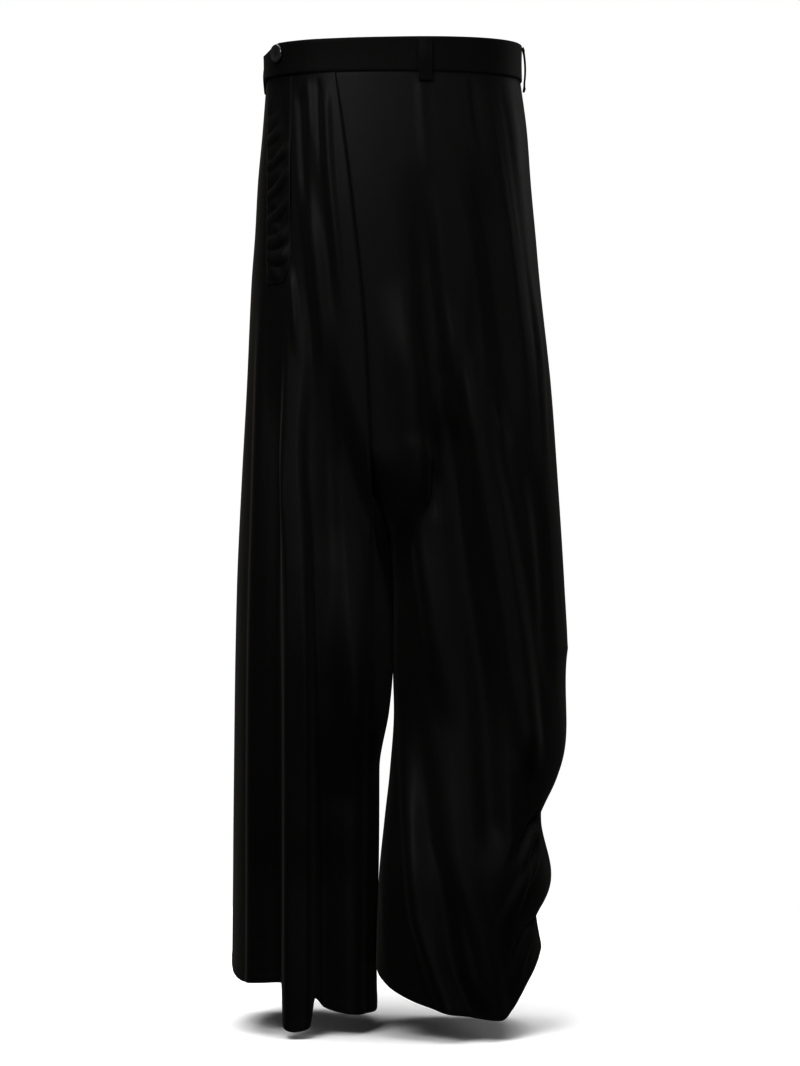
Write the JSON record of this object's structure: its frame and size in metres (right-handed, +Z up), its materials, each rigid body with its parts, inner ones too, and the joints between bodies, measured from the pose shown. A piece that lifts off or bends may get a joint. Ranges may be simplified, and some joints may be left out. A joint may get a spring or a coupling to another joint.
{
  "type": "dhoti pants",
  "caption": "Full-length draped satin trousers with a wrap pleat, a buttoned waistband, belt loops and a side fly, hollow as worn.",
  "frame": {"origin": "middle of the waistband's ring, half-way up the band, where the wearer's waist holds the trousers", "axes": "+X to the wearer's left, +Y to the back, +Z up"},
  "size_m": [0.3695, 0.3002, 1.0686],
  "materials": {
    "satin": "black satin with a soft sheen",
    "button": "polished black resin"
  },
  "bodies": {
    "root": {"front_right_leg": "satin", "front_left_leg": "satin", "back_right_leg": "satin", "back_left_leg": "satin", "side_fly": "satin", "waistband": "satin", "belt_loop_front": "satin", "belt_loop_left_side": "satin", "belt_loop_back_left": "satin", "belt_loop_back_right": "satin", "belt_loop_right_side": "satin", "waist_button": "button"}
  },
  "joints": []
}
